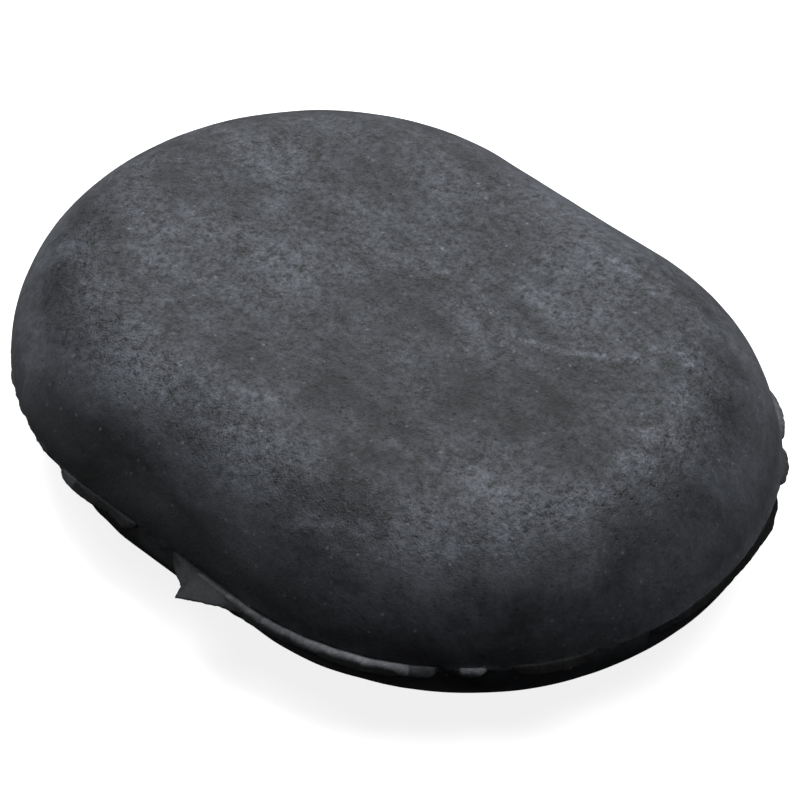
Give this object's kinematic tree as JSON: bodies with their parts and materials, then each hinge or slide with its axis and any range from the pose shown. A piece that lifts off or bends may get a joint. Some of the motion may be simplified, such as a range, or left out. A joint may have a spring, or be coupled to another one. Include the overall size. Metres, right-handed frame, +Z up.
{
  "type": "massage stone",
  "caption": "Dark basalt massage stone, obround in plan, with broad flat faces, rounded shoulders and torn remnants of thin flash on its parting line.",
  "frame": {"origin": "centre of the flat underside, where the stone rests", "axes": "+X along the stone's length, with the end that carries the most flash at +X; +Y across its width, away from the side with the torn tab; +Z up, square to the flat underside"},
  "size_m": [0.0807, 0.0625, 0.0206],
  "materials": {
    "basalt": "matte",
    "basalt_flash": "matte"
  },
  "bodies": {
    "root": {"stone_body": "basalt", "flash_left_strip": "basalt_flash", "flash_torn_tab": "basalt_flash", "flash_near_strip": "basalt_flash", "flash_corner_chip": "basalt_flash", "flash_corner_strip": "basalt_flash", "flash_end_strip": "basalt_flash", "flash_end_flake_low": "basalt_flash", "flash_end_flake_high": "basalt_flash"}
  },
  "joints": []
}
